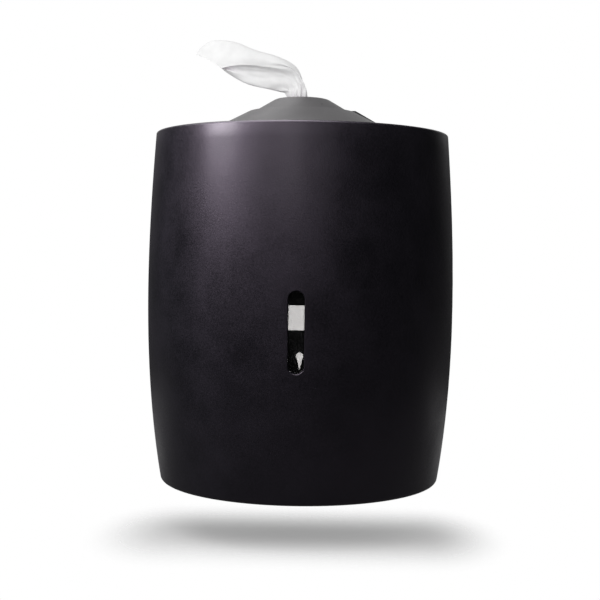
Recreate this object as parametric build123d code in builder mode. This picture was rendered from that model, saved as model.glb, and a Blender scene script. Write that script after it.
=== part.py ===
from build123d import *
import math
import os

os.makedirs("parts", exist_ok=True)

# Wall-mounted centre-pull wipes dispenser, in millimetres.
# The origin is the middle of the wall screw pattern, on the wall's face.
# +Z is up, the front faces -Y, and +X is to the right of someone in front of it.

# Body form: a D in plan whose sides and front draw in towards the top and the bottom
body_half_width = 147.0
body_half_height = 168.0
body_depth = 220.0
top_side_draw = 7.0
bottom_side_draw = 11.0
top_front_draw = 7.0
bottom_front_draw = 29.0

# Walls and running gaps
cover_wall = 2.8
running_gap = 0.6
seat_gap = 0.3
slide_fit = 0.05
press_fit_gap = 0.02

# Screws: shank radius, head radius and head height
frame_screw = (2.0, 3.8, 2.2)
small_screw = (1.4, 2.7, 1.8)
cam_screw_sizes = (1.4, 4.8, 1.8)
screw_slot_width = 0.9
frame_screw_reach = 4.0
screw_clearance = 0.3
blind_floor = 0.9

# Back housing and its mount: heights are below the body's top or above its bottom
plate_thickness = 5.0
mount_spacing_x = 160.0
mount_spacing_z = 200.0
mount_hole_radius = 2.8
mount_boss_radius = 8.0
mount_boss_height = 2.5
plate_low_rise = 29.0
skirt_depth = 12.0
skirt_wall = 2.0
skirt_gap = 1.2
skirt_low_rise = 38.0
skirt_high_drop = 12.0
plate_rib_depth = 2.5
plate_rib_width = 2.0
plate_rib_x = 40.0
plate_rib_z = 60.0
plate_rib_side_margin = 25.0
plate_rib_end_margin = 56.0

# Cover hinge, at the lower rear corners
hinge_y = -18.0
hinge_rise = 10.0
hinge_pin_radius = 2.5
hinge_lug_radius = 7.0
hinge_ear_inset = 33.0
hinge_ear_width = 11.4
pin_head_radius = 4.0
pin_head_height = 2.0
pin_engagement = 7.5

# Cover details
top_edge_radius = 2.0
bottom_edge_radius = 5.0
bottom_lip_width = 20.0
bottom_lip_start_y = -31.0
cover_rib_depth = 3.0
cover_rib_height = 2.0
cover_rib_levels = (90.0, -100.0)
cover_rib_start_y = -22.0

# Sight slot in the cover, its lens and the frame that holds the lens
slot_width = 14.0
slot_height = 71.0
slot_z = -12.8
slot_edge_radius = 0.8
lens_pad_width = 42.0
lens_pad_height = 102.0
lens_pad_corner = 8.0
lens_pad_depth = 8.5
lens_flange_width = 26.0
lens_flange_height = 83.0
lens_flange_thickness = 2.0
lens_setback = 0.7
retainer_thickness = 4.2
retainer_screw_x = 16.5
retainer_screw_z = 46.0
retainer_screw_reach = 3.2
lens_hollow_margin = 5.0
lens_hollow_depth = 4.0

# Support shelf
shelf_side_margin = 18.0
shelf_front_margin = 31.0
shelf_rise = 23.0
shelf_thickness = 3.0
shelf_flange_height = 26.0
shelf_flange_margin = 39.0
shelf_screw_height = 16.0
shelf_screw_margin = 10.0
shelf_screw_inner_x = 32.0
shelf_rib_x = 60.0
shelf_rib_length = 110.0
shelf_rib_depth = 13.0
shelf_rib_wall = 2.5
shelf_drain_radius = 30.0
ring_height = 5.0
ring_wall = 2.0
ring_gap = 0.8
pad_radius = 8.0
pad_thickness = 2.0
pad_ring_radius = 60.0
pad_count = 4
pad_start_angle = 45.0

# Bucket, sized to the room in the body, and its sight openings, below the middle of the slot
bucket_back_gap = 10.5
bucket_front_gap = 22.5
bucket_top_drop = 58.0
bucket_draft = 6.5
bucket_wall = 2.0
bucket_floor = 2.2
bucket_bead = 1.5
bucket_bead_height = 4.0
sight_width = 40.0
sight_height = 22.1
sight_rise = 11.2
drop_x = 2.6
drop_fall = 18.9
drop_height = 15.6
drop_width = 5.2

# Roll and wipe: the wipe's sections are in the list of its own block
roll_room = 2.5
roll_height = 200.0
roll_core_radius = 22.0
roll_edge_radius = 4.0
strand_low_z = 20.0
strand_radius = 7.0
strand_overlap = 2.0

# Top bracket: a deck that carries the nozzle, and the hood behind it
wing_width = 55.0
deck_drop = 2.5
deck_thickness = 3.5
deck_rim_width = 19.5
deck_skirt_depth = 10.0
deck_skirt_wall = 3.0
notch_gap = 1.5
flange_margin = 3.5
flange_thickness = 3.5
bracket_flange_drop = 40.0
bracket_screw_drop = 26.0
bracket_screw_margin = 12.0
bracket_screw_inner_x = 40.0
gusset_wall = 2.5
outer_gusset_margin = 28.7
outer_gusset_length = 48.0
inner_gusset_x = 20.0
inner_gusset_length = 22.0
hood_rise = 32.0
hood_top_margin = 40.0
hood_shoulder_rise = 11.5
hood_front_y = -32.0
hood_wall = 3.0

# Nozzle: an outer cone on the deck and a bayonet cap in its collar
cone_margin = 1.5
cone_rise = 20.7
cone_ring_radius = 50.4
cone_wall = 2.9
cone_foot_width = 16.0
base_screw_margin = 8.0
base_screw_reach = 2.8
base_screw_count = 4
base_screw_start_angle = 45.0
collar_edge = 3.15
collar_wall = 2.5
collar_depth = 16.6
cap_step = 0.8
cap_rise = 12.6
cap_shoulder_radius = 27.0
cap_crown = 1.5
cap_flat_radius = 22.5
cap_hole_radius = 18.5
cap_wall = 2.6
cap_skirt_wall = 2.4
cap_skirt_length = 14.3
cap_lip_radius = 0.8
cap_fit = 0.35
lug_count = 3
lug_reach = 1.6
lug_height = 3.0
lug_rise = 1.5
lug_track_gap = 0.35
lug_angle = 9.0
lug_side_angle = 1.0
cap_turn_angle = 40.0
diaphragm_radius = 31.0
diaphragm_thickness = 1.3
diaphragm_hole_radius = 8.3
diaphragm_rib_radius = 28.0
diaphragm_rib_wall = 2.0
diaphragm_drop = 10.2
diaphragm_screw_radius = 35.5
diaphragm_screw_angle = 60.0
diaphragm_screw_reach = 3.0
slit_length = 12.0
slit_width = 0.8
slit_count = 6
retainer_ring_inner_radius = 25.0
retainer_ring_outer_radius = 38.0
retainer_ring_thickness = 2.0

# Lock in the right-hand wing of the cover's top, and its striker under the deck
lock_inset = 21.0
lock_y = -44.0
barrel_radius = 9.5
barrel_length = 22.6
bezel_radius = 12.0
bezel_height = 1.8
plug_radius = 6.0
tenon_side = 7.0
key_slot_length = 8.0
key_slot_width = 1.6
key_slot_depth = 8.0
nut_across_flats = 22.0
nut_thickness = 4.0
cam_length = 32.0
cam_half_width = 5.0
cam_hub_radius = 8.0
cam_thickness = 2.0
cam_gap = 0.4
cam_screw_reach = 5.0
striker_overlap = 3.0
striker_width = 8.0
striker_thickness = 4.4
striker_gap = 0.6
striker_foot_length = 22.0
striker_foot_width = 16.0
striker_foot_thickness = 2.0
striker_screw_offset = 8.5
striker_screw_pitch = 8.0
striker_screw_reach = 2.4

# Worked out for the wall side: the plate, its flanges and the hinge
plate_front_y = -plate_thickness
cover_back_y = plate_front_y - running_gap
flange_front_y = plate_front_y - flange_thickness
plate_low_z = plate_low_rise - body_half_height
skirt_low_z = skirt_low_rise - body_half_height
skirt_high_z = body_half_height - skirt_high_drop
skirt_inset = cover_wall + skirt_gap
plate_rib_reach_x = body_half_width - plate_rib_side_margin
plate_rib_reach_z = body_half_height - plate_rib_end_margin
hinge_z = hinge_rise - body_half_height
foot_low_z = hinge_z - hinge_lug_radius
hinge_ear_inner_x = body_half_width - hinge_ear_inset
hinge_ear_outer_x = hinge_ear_inner_x + hinge_ear_width
lug_inner_x = hinge_ear_outer_x + running_gap

# Worked out for the bucket, the roll and the shelf
bucket_bead_radius = (body_depth - bucket_back_gap - bucket_front_gap) / 2
bucket_top_radius = bucket_bead_radius - bucket_bead
bucket_bottom_radius = bucket_top_radius - bucket_draft
bucket_top_z = body_half_height - bucket_top_drop
nozzle_y = -(bucket_back_gap + bucket_bead_radius)
roll_radius = bucket_bottom_radius - roll_room
shelf_half_width = body_half_width - shelf_side_margin
shelf_depth = body_depth - shelf_front_margin
shelf_top_z = shelf_rise - body_half_height
shelf_bottom_z = shelf_top_z - shelf_thickness
shelf_flange_half_width = body_half_width - shelf_flange_margin
shelf_screw_outer_x = shelf_flange_half_width - shelf_screw_margin
shelf_screw_z = shelf_top_z + shelf_screw_height
bucket_bottom_z = shelf_top_z + pad_thickness
sight_z = slot_z + sight_rise
drop_high_z = slot_z - drop_fall
drop_low_z = drop_high_z - drop_height

# Worked out for the deck and the hood
deck_radius = body_half_width - wing_width
deck_top_z = body_half_height - deck_drop
deck_bottom_z = deck_top_z - deck_thickness
deck_hole_radius = deck_radius - deck_rim_width
flange_half_width = deck_radius - flange_margin
bracket_screw_outer_x = flange_half_width - bracket_screw_margin
bracket_screw_z = deck_bottom_z - bracket_screw_drop
outer_gusset_x = deck_radius - outer_gusset_margin
gusset_lengths = {
    outer_gusset_x: outer_gusset_length,
    inner_gusset_x: inner_gusset_length,
    -inner_gusset_x: inner_gusset_length,
    -outer_gusset_x: outer_gusset_length,
}
hood_depth = plate_front_y - hood_front_y
hood_top_z = deck_top_z + hood_rise
hood_shoulder_z = deck_top_z + hood_shoulder_rise
hood_top_half_width = deck_radius - hood_top_margin

# Worked out for the nozzle
cone_base_radius = deck_radius - cone_margin
cone_ring_z = deck_top_z + cone_rise
cone_slope = cone_rise / (cone_base_radius - cone_ring_radius)
cone_foot_radius = cone_base_radius - cone_foot_width
base_screw_radius = cone_base_radius - base_screw_margin
collar_radius = cone_ring_radius - collar_edge
collar_low_z = cone_ring_z - collar_depth
cap_radius = collar_radius - cap_fit
cap_edge_z = cone_ring_z - cap_step
cap_top_z = cone_ring_z + cap_rise
cap_shoulder_z = cap_top_z - cap_crown
cap_slope = (cap_shoulder_z - cap_edge_z) / (cap_radius - cap_shoulder_radius)
cap_skirt_inner_radius = cap_radius - cap_skirt_wall
cap_low_z = cap_edge_z - cap_skirt_length
lug_low_z = cap_low_z + lug_rise
lug_high_z = lug_low_z + lug_height
track_radius = cap_radius + lug_reach + lug_track_gap
track_low_z = lug_low_z - lug_track_gap
diaphragm_top_z = cap_top_z - diaphragm_drop
diaphragm_low_z = diaphragm_top_z - diaphragm_thickness
retainer_ring_low_z = diaphragm_low_z - retainer_ring_thickness
nozzle_plane = Plane(origin=(0, nozzle_y, 0), x_dir=(1, 0, 0), z_dir=(0, -1, 0))
nozzle_axis = Axis((0, nozzle_y, 0), (0, 0, 1))

# Worked out for the lens and the lock
lens_pad_y = lens_pad_depth - body_depth
lens_plate_y = lens_pad_y + lens_flange_thickness
retainer_back_y = lens_pad_y + retainer_thickness
lock_x = deck_radius + notch_gap + lock_inset
lock_plane = Plane(origin=(lock_x, lock_y, body_half_height))
cam_high_z = body_half_height - barrel_length - cam_gap
cam_low_z = cam_high_z - cam_thickness
striker_inner_x = lock_x - cam_length - cam_half_width + striker_overlap
striker_screw_x = striker_inner_x - striker_screw_offset
striker_front_y = lock_y - cam_half_width - striker_gap - striker_thickness
striker_foot_low_z = deck_bottom_z - striker_foot_thickness
striker_low_z = cam_low_z - cam_half_width


def half_width(z):
    """Half the body's width at a height: it draws in as the square of the height."""
    draw = top_side_draw if z > 0 else bottom_side_draw
    return body_half_width - draw * (z / body_half_height) ** 2


def depth(z):
    """The body's depth from the wall to its front at a height."""
    draw = top_front_draw if z > 0 else bottom_front_draw
    return body_depth - draw * (z / body_half_height) ** 2


def d_outline(width, reach, back_y):
    """A D in plan: straight sides from back_y, and a half round front that reaches -reach."""
    round_y = width - reach
    with BuildSketch() as outline:
        with BuildLine():
            Line((-width, back_y), (width, back_y))
            Line((width, back_y), (width, round_y))
            ThreePointArc((width, round_y), (0, -reach), (-width, round_y))
            Line((-width, round_y), (-width, back_y))
        make_face()
    return outline.sketch_local


def barrel_form(inset, low_z, high_z, back_y):
    """The body's barrel form, drawn in by an inset, between two heights."""
    with BuildPart() as form:
        for step in range(5):
            z = low_z + (high_z - low_z) * step / 4
            with BuildSketch(Plane.XY.offset(z)):
                add(d_outline(half_width(z) - inset, depth(z) - inset, back_y))
        loft()
    return form.part


def barrel_elevation(inset, low_z, high_z):
    """The body's outline seen from the front, drawn in at the sides by an inset."""
    with BuildSketch() as outline:
        with BuildLine():
            for side in (1, -1):
                upper = [(side * (half_width(z) - inset), z) for z in (high_z, high_z / 2, 0)]
                lower = [(side * (half_width(z) - inset), z) for z in (0, low_z / 2, low_z)]
                ThreePointArc(*upper)
                ThreePointArc(*lower)
            Line((half_width(high_z) - inset, high_z), (inset - half_width(high_z), high_z))
            Line((half_width(low_z) - inset, low_z), (inset - half_width(low_z), low_z))
        make_face()
    return outline.sketch_local


def hood_outline(inset, low_z):
    """The hood behind the nozzle, seen from the front: a flat top, sloped shoulders, upright sides."""
    top = (hood_top_half_width - inset / 2, hood_top_z - inset)
    shoulder = (flange_half_width - inset, hood_shoulder_z - inset / 2)
    foot = (flange_half_width - inset, low_z)
    with BuildSketch() as outline:
        with BuildLine():
            Polyline(top, shoulder, foot, (-foot[0], foot[1]), (-shoulder[0], shoulder[1]),
                     (-top[0], top[1]), close=True)
        make_face()
    return outline.sketch_local


def pan_screws(sizes, length, places, out):
    """Pan-head screws of one size: each shank runs from its seat against the direction out."""
    shank_radius, head_radius, head_height = sizes
    with BuildPart() as group:
        for place in places:
            seat = Plane(origin=place, z_dir=out)
            with BuildSketch(seat):
                Circle(shank_radius)
            extrude(amount=-length)
            with BuildSketch(seat):
                Circle(head_radius)
            extrude(amount=head_height)
            with BuildSketch(seat.offset(head_height)):
                Rectangle(2 * head_radius, screw_slot_width)
            extrude(amount=-head_height / 2, mode=Mode.SUBTRACT)
    return group.part


def bores(places, out, radius, length):
    """Round holes of one size: each runs from its place on a face against the direction out."""
    with BuildPart() as holes:
        for place in places:
            with BuildSketch(Plane(origin=place, z_dir=out)):
                Circle(radius)
            extrude(amount=-length)
    return holes.part


def radial_plane(angle):
    """An upright plane through the nozzle's axis, turned about it by an angle."""
    turn = math.radians(angle)
    return Plane(origin=(0, nozzle_y, 0), x_dir=(math.cos(turn), math.sin(turn), 0),
                 z_dir=(math.sin(turn), -math.cos(turn), 0))


def ring_part(start, arc, inner_radius, outer_radius, low_z, high_z):
    """Part of a ring about the nozzle's axis, from a start angle through an arc."""
    with BuildPart() as part_ring:
        with BuildSketch(radial_plane(start)):
            with Locations(((inner_radius + outer_radius) / 2, (low_z + high_z) / 2)):
                Rectangle(outer_radius - inner_radius, high_z - low_z)
        revolve(axis=nozzle_axis, revolution_arc=arc)
    return part_ring.part


def cap_flank(radius):
    """Height of the cap's conical surface at a radius."""
    return cap_edge_z + cap_slope * (cap_radius - radius)


def ring_places(radius, count, start, z):
    """Places at one height, evenly round the nozzle's axis."""
    angles = [math.radians(start + index * 360 / count) for index in range(count)]
    return [(radius * math.cos(angle), nozzle_y + radius * math.sin(angle), z) for angle in angles]


def row_places(spans, z):
    """Places in a row at one height on the front of the flanges."""
    return [(side * span, flange_front_y, z) for span in spans for side in (-1, 1)]


bracket_screw_places = row_places((bracket_screw_outer_x, bracket_screw_inner_x), bracket_screw_z)
shelf_screw_places = row_places((shelf_screw_outer_x, shelf_screw_inner_x), shelf_screw_z)
base_screw_places = ring_places(base_screw_radius, base_screw_count, base_screw_start_angle,
                                deck_bottom_z)
diaphragm_screw_places = ring_places(diaphragm_screw_radius, lug_count, diaphragm_screw_angle,
                                     retainer_ring_low_z)
retainer_screw_places = [(x, retainer_back_y, slot_z + z) for x in (-retainer_screw_x, retainer_screw_x)
                         for z in (-retainer_screw_z, retainer_screw_z)]
striker_middle_y = striker_front_y + striker_foot_width / 2
striker_screw_places = [(striker_screw_x, striker_middle_y + shift, striker_foot_low_z)
                        for shift in (-striker_screw_pitch / 2, striker_screw_pitch / 2)]
cam_screw_place = (lock_x, lock_y, cam_low_z)


# Back housing: the moulded wall plate, with its locating skirt, ribs and hinge ears
with BuildPart() as back_housing:
    with BuildSketch(Plane.XZ):
        add(barrel_elevation(0, plate_low_z, body_half_height))
        with Locations((0, (plate_low_z + foot_low_z) / 2)):
            Rectangle(2 * hinge_ear_outer_x, plate_low_z - foot_low_z)
        add(hood_outline(0, deck_bottom_z))
    extrude(amount=plate_thickness)
    # The skirt locates the shut cover from inside its side walls
    with BuildSketch(Plane.XZ.offset(plate_thickness)):
        add(barrel_elevation(skirt_inset, skirt_low_z, skirt_high_z))
        add(barrel_elevation(skirt_inset + skirt_wall, skirt_low_z, skirt_high_z), mode=Mode.SUBTRACT)
    extrude(amount=skirt_depth)
    with BuildSketch(Plane.XZ.offset(plate_thickness)):
        with GridLocations(2 * plate_rib_x, 0, 2, 1):
            Rectangle(plate_rib_width, 2 * plate_rib_reach_z)
        with GridLocations(0, 2 * plate_rib_z, 1, 2):
            Rectangle(2 * plate_rib_reach_x, plate_rib_width)
    extrude(amount=plate_rib_depth)
    with BuildSketch(Plane.XZ.offset(plate_thickness)):
        with GridLocations(mount_spacing_x, mount_spacing_z, 2, 2):
            Circle(mount_boss_radius)
    extrude(amount=mount_boss_height)
    for side in (1, -1):
        with BuildSketch(Plane.YZ.offset(side * hinge_ear_inner_x)):
            with Locations((hinge_y, hinge_z)):
                Circle(hinge_lug_radius)
            with Locations(((hinge_y + plate_front_y) / 2, hinge_z)):
                Rectangle(plate_front_y - hinge_y, 2 * hinge_lug_radius)
        extrude(amount=side * hinge_ear_width)
        add(bores([(side * hinge_ear_outer_x, hinge_y, hinge_z)], (side, 0, 0),
                  hinge_pin_radius + press_fit_gap, hinge_ear_width), mode=Mode.SUBTRACT)
    with BuildSketch(Plane.XZ):
        with GridLocations(mount_spacing_x, mount_spacing_z, 2, 2):
            Circle(mount_hole_radius)
    extrude(amount=plate_thickness + mount_boss_height, mode=Mode.SUBTRACT)
    add(bores(bracket_screw_places + shelf_screw_places, (0, -1, 0), frame_screw[0] + slide_fit,
              flange_thickness + frame_screw_reach + slide_fit), mode=Mode.SUBTRACT)
back_housing.part.label = "back_housing"
export_step(back_housing.part, "parts/back_housing.step")


# Support shelf: a ribbed D-shaped tray that the bucket stands on
with BuildPart() as support_shelf:
    with BuildSketch(Plane.XY.offset(shelf_top_z)):
        add(d_outline(shelf_half_width, shelf_depth, plate_front_y))
        with Locations((0, nozzle_y)):
            Circle(shelf_drain_radius, mode=Mode.SUBTRACT)
    extrude(amount=-shelf_thickness)
    with BuildSketch(Plane.XZ.offset(plate_thickness)):
        with Locations((0, shelf_top_z + shelf_flange_height / 2)):
            Rectangle(2 * shelf_flange_half_width, shelf_flange_height)
    extrude(amount=flange_thickness)
    # The ring round the bucket's foot is open at the front, where the bucket comes out
    with BuildSketch(Plane.XY.offset(shelf_top_z)):
        with Locations((0, nozzle_y)):
            Circle(bucket_bottom_radius + ring_gap + ring_wall)
            Circle(bucket_bottom_radius + ring_gap, mode=Mode.SUBTRACT)
        add(d_outline(shelf_half_width - ring_wall, shelf_depth - ring_wall, plate_front_y),
            mode=Mode.INTERSECT)
    extrude(amount=ring_height)
    for x in (-shelf_rib_x, shelf_rib_x):
        with BuildSketch(Plane.YZ.offset(x - shelf_rib_wall / 2)):
            with BuildLine():
                Polyline((plate_front_y, shelf_bottom_z), (plate_front_y, shelf_bottom_z - shelf_rib_depth),
                         (plate_front_y - shelf_rib_length, shelf_bottom_z), close=True)
            make_face()
        extrude(amount=shelf_rib_wall)
    add(bores(shelf_screw_places, (0, -1, 0), frame_screw[0] + screw_clearance, flange_thickness),
        mode=Mode.SUBTRACT)
support_shelf.part.label = "support_shelf"
export_step(support_shelf.part, "parts/support_shelf.step")

shelf_screws = pan_screws(frame_screw, flange_thickness + frame_screw_reach, shelf_screw_places,
                          (0, -1, 0))
shelf_screws.label = "shelf_screws"
export_step(shelf_screws, "parts/shelf_screws.step")


# Bucket pads: four rubber discs that keep the bucket from sliding on the shelf
with BuildPart() as bucket_pads:
    with BuildSketch(Plane.XY.offset(shelf_top_z)):
        with Locations((0, nozzle_y)):
            with PolarLocations(pad_ring_radius, pad_count, start_angle=pad_start_angle):
                Circle(pad_radius)
    extrude(amount=pad_thickness)
bucket_pads.part.label = "bucket_pads"
export_step(bucket_pads.part, "parts/bucket_pads.step")


# Inner bucket: a drafted round tub with a rim bead and two sight openings at the front
with BuildPart() as inner_bucket:
    with BuildSketch(nozzle_plane):
        with BuildLine():
            Polyline((0, bucket_bottom_z), (bucket_bottom_radius, bucket_bottom_z),
                     (bucket_top_radius, bucket_top_z - bucket_bead_height),
                     (bucket_top_radius + bucket_bead, bucket_top_z - bucket_bead_height),
                     (bucket_top_radius + bucket_bead, bucket_top_z),
                     (bucket_top_radius - bucket_wall, bucket_top_z),
                     (bucket_bottom_radius - bucket_wall, bucket_bottom_z + bucket_floor),
                     (0, bucket_bottom_z + bucket_floor), close=True)
        make_face()
    revolve(axis=nozzle_axis)
    with BuildSketch(nozzle_plane):
        with Locations((0, sight_z)):
            Rectangle(sight_width, sight_height)
        with BuildLine():
            drop_left = (drop_x - drop_width / 2, drop_high_z - drop_width)
            drop_right = (drop_x + drop_width / 2, drop_high_z - drop_width)
            ThreePointArc(drop_left, (drop_x, drop_high_z), drop_right)
            Polyline(drop_right, (drop_x, drop_low_z), drop_left)
        make_face()
    extrude(amount=bucket_top_radius + bucket_wall, mode=Mode.SUBTRACT)
inner_bucket.part.label = "inner_bucket"
export_step(inner_bucket.part, "parts/inner_bucket.step")


# Wipes roll: a centre-pull roll with an open core, standing in the bucket
with BuildPart() as wipes_roll:
    with BuildSketch(Plane(origin=(0, nozzle_y, bucket_bottom_z + bucket_floor + seat_gap))):
        Circle(roll_radius)
        Circle(roll_core_radius, mode=Mode.SUBTRACT)
    extrude(amount=roll_height)
    fillet(wipes_roll.faces().sort_by(Axis.Z)[-1].edges(), radius=roll_edge_radius)
wipes_roll.part.label = "wipes_roll"
export_step(wipes_roll.part, "parts/wipes_roll.step")


# Wipe tail: the gathered strand up through the nozzle and the loose end that lies over to the left
def tail_section(x, rise, tilt, width, thickness, out_y):
    """A lens-shaped cut through the gathered wipe, at a height above the nozzle's top."""
    lean = math.radians(tilt)
    with BuildSketch(Plane(origin=(x, nozzle_y + out_y, cap_top_z + rise),
                           x_dir=(math.cos(lean), 0, math.sin(lean)),
                           z_dir=(-math.sin(lean), 0, math.cos(lean)))) as section:
        with BuildLine():
            ThreePointArc((-width / 2, 0), (0, thickness / 2), (width / 2, 0))
            ThreePointArc((width / 2, 0), (0, -thickness / 2), (-width / 2, 0))
        make_face()
    return section.sketch


tail_foot_drop = 18.6
with BuildPart() as wipe_tail:
    with BuildSketch(Plane(origin=(0, nozzle_y, strand_low_z))):
        Circle(strand_radius)
    extrude(amount=cap_top_z - tail_foot_drop + strand_overlap - strand_low_z)
    loft([
        tail_section(0, -tail_foot_drop, 0, 14.8, 14.6, 0),
        tail_section(0, -13.6, 0, 14.8, 14.6, 0),
        tail_section(0, -8.6, 0, 15.4, 14.6, 0),
        tail_section(-3, -2.6, 0, 18, 14.3, 0),
        tail_section(-6, 6.4, 4, 22, 14, 0),
        tail_section(-10, 11.4, 19, 26, 15, 0),
        tail_section(-20, 19.9, 35, 35, 17, -1),
        tail_section(-36.5, 26.4, 38, 40, 20, -2),
        tail_section(-57, 34.4, 42, 33, 22, -3),
        tail_section(-72.5, 42.4, 52, 26, 18, -2),
        tail_section(-89.5, 45.9, 66, 16, 11, -1),
        tail_section(-99.5, 42.2, 80, 4, 3, 0),
    ])
wipe_tail.part.label = "wipe_tail"
export_step(wipe_tail.part, "parts/wipe_tail.step")


# Top bracket: the deck that carries the nozzle, its skirt and gussets, and the hood behind the cone
with BuildPart() as top_bracket:
    with BuildSketch(Plane.XY.offset(deck_top_z)):
        add(d_outline(deck_radius, deck_radius - nozzle_y, plate_front_y))
    extrude(amount=-deck_thickness)
    with BuildSketch(Plane.XY.offset(deck_bottom_z)):
        add(d_outline(deck_radius, deck_radius - nozzle_y, plate_front_y))
        add(d_outline(deck_radius - deck_skirt_wall, deck_radius - deck_skirt_wall - nozzle_y,
                      plate_front_y), mode=Mode.SUBTRACT)
    extrude(amount=-deck_skirt_depth)
    with BuildSketch(Plane.XZ.offset(plate_thickness)):
        with Locations((0, deck_bottom_z - bracket_flange_drop / 2)):
            Rectangle(2 * flange_half_width, bracket_flange_drop)
    extrude(amount=flange_thickness)
    for x, length in gusset_lengths.items():
        with BuildSketch(Plane.YZ.offset(x - gusset_wall / 2)):
            with BuildLine():
                Polyline((flange_front_y, deck_bottom_z),
                         (flange_front_y, deck_bottom_z - bracket_flange_drop),
                         (flange_front_y - length, deck_bottom_z), close=True)
            make_face()
        extrude(amount=gusset_wall)
    # The hood is a shell, open at the back against the wall plate
    with BuildSketch(Plane.XZ.offset(plate_thickness)):
        add(hood_outline(0, deck_top_z))
    extrude(amount=hood_depth)
    with BuildSketch(Plane.XZ.offset(plate_thickness)):
        add(hood_outline(hood_wall, deck_top_z))
    extrude(amount=hood_depth - hood_wall, mode=Mode.SUBTRACT)
    # Room for the cone, which slips under the hood's front wall, and for the wipe
    with BuildSketch(nozzle_plane):
        with BuildLine():
            Polyline((0, deck_top_z), (cone_base_radius + seat_gap, deck_top_z),
                     (cone_base_radius + seat_gap, deck_top_z + seat_gap),
                     (0, deck_top_z + seat_gap + cone_slope * (cone_base_radius + seat_gap)),
                     close=True)
        make_face()
    revolve(axis=nozzle_axis, mode=Mode.SUBTRACT)
    with BuildSketch(Plane(origin=(0, nozzle_y, deck_top_z))):
        Circle(deck_hole_radius)
    extrude(amount=-deck_thickness - bracket_flange_drop, mode=Mode.SUBTRACT)
    add(bores(bracket_screw_places, (0, -1, 0), frame_screw[0] + screw_clearance, flange_thickness),
        mode=Mode.SUBTRACT)
    add(bores(base_screw_places, (0, 0, -1), small_screw[0] + screw_clearance, deck_thickness),
        mode=Mode.SUBTRACT)
    add(bores(striker_screw_places, (0, 0, -1), small_screw[0] + slide_fit,
              striker_foot_thickness + deck_thickness - blind_floor), mode=Mode.SUBTRACT)
top_bracket.part.label = "top_bracket"
export_step(top_bracket.part, "parts/top_bracket.step")

bracket_screws = pan_screws(frame_screw, flange_thickness + frame_screw_reach, bracket_screw_places,
                            (0, -1, 0))
bracket_screws.label = "bracket_screws"
export_step(bracket_screws, "parts/bracket_screws.step")


# Nozzle base: the outer grey cone, with a collar whose bayonet tracks hold the cap
def base_flank(radius):
    """Height of the outer cone's surface at a radius."""
    return cone_ring_z - cone_slope * (radius - cone_ring_radius)


with BuildPart() as nozzle_base:
    with BuildSketch(nozzle_plane):
        with BuildLine():
            Polyline((cone_base_radius, deck_top_z), (cone_ring_radius, cone_ring_z),
                     (collar_radius, cone_ring_z), (collar_radius, collar_low_z),
                     (collar_radius + collar_wall, collar_low_z),
                     (collar_radius + collar_wall, base_flank(collar_radius + collar_wall) - cone_wall),
                     (cone_foot_radius, base_flank(cone_foot_radius) - cone_wall),
                     (cone_foot_radius, deck_top_z), close=True)
        make_face()
    revolve(axis=nozzle_axis)
    for index in range(lug_count):
        start = index * 360 / lug_count
        # The track lets a lug turn, and the entry lets it in from above
        add(ring_part(start - lug_side_angle, lug_angle + cap_turn_angle + 2 * lug_side_angle, cap_radius,
                      track_radius, track_low_z, lug_high_z + lug_track_gap), mode=Mode.SUBTRACT)
        add(ring_part(start + cap_turn_angle - lug_side_angle, lug_angle + 2 * lug_side_angle, cap_radius,
                      track_radius, track_low_z, cone_ring_z + cap_step), mode=Mode.SUBTRACT)
    add(bores(base_screw_places, (0, 0, -1), small_screw[0] + slide_fit,
              deck_thickness + base_screw_reach + slide_fit), mode=Mode.SUBTRACT)
nozzle_base.part.label = "nozzle_base"
export_step(nozzle_base.part, "parts/nozzle_base.step")

nozzle_base_screws = pan_screws(small_screw, deck_thickness + base_screw_reach, base_screw_places,
                                (0, 0, -1))
nozzle_base_screws.label = "nozzle_base_screws"
export_step(nozzle_base_screws, "parts/nozzle_base_screws.step")


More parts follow.
